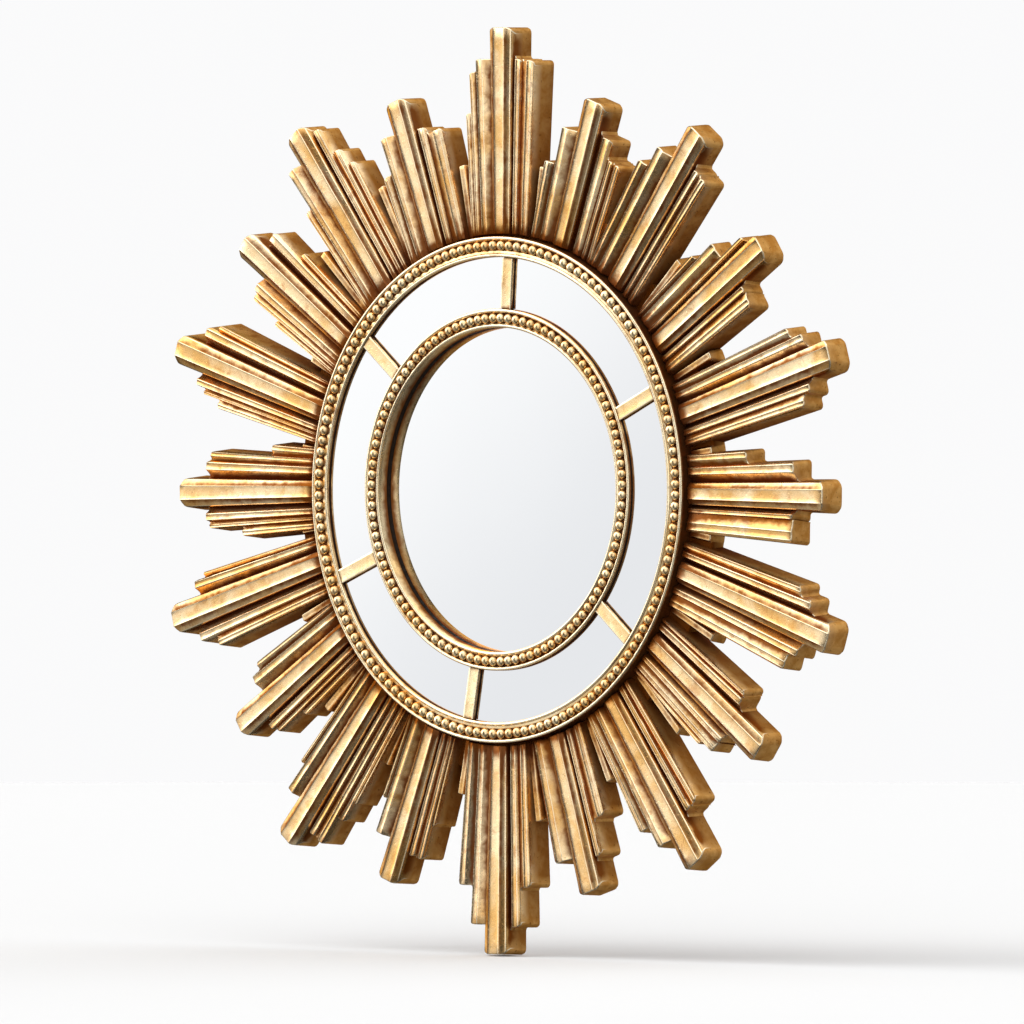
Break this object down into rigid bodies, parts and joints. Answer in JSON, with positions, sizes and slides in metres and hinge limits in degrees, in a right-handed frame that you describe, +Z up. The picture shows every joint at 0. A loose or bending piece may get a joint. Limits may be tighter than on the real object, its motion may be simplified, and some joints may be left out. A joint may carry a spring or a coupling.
{
  "type": "wall mirror",
  "caption": "Round sunburst wall mirror with a gilded frame of stepped, fluted rays, beaded rings, mirror segments parted by spokes, and a deeper round mirror in the middle.",
  "frame": {"origin": "back face of the hanging plate, on the wall plane, above the middle of the mirror", "axes": "+Y into the wall, so the mirror's front faces -Y; +Z up; +X to the right as seen from the front"},
  "size_m": [0.9039, 0.0385, 0.9274],
  "materials": {
    "antique_gold": "gold leaf over cast polyurethane, worn, with a brown patina in the flutes",
    "bright_gold": "bright gold leaf, burnished on the beads and lips",
    "mirror_glass": "clear glass, silvered on its back",
    "black_board": "fibreboard painted matt black",
    "zinc_plate": "zinc-plated steel"
  },
  "bodies": {
    "root": {"sunburst_frame": "antique_gold", "outer_beaded_ring": "bright_gold", "inner_beaded_ring": "bright_gold", "spoke_1": "bright_gold", "spoke_2": "bright_gold", "spoke_3": "bright_gold", "spoke_4": "bright_gold", "spoke_5": "bright_gold", "spoke_6": "bright_gold", "mirror_segment_1": "mirror_glass", "mirror_segment_2": "mirror_glass", "mirror_segment_3": "mirror_glass", "mirror_segment_4": "mirror_glass", "mirror_segment_5": "mirror_glass", "mirror_segment_6": "mirror_glass", "centre_mirror": "mirror_glass", "back_panel": "black_board", "hanging_plate": "zinc_plate"}
  },
  "joints": []
}
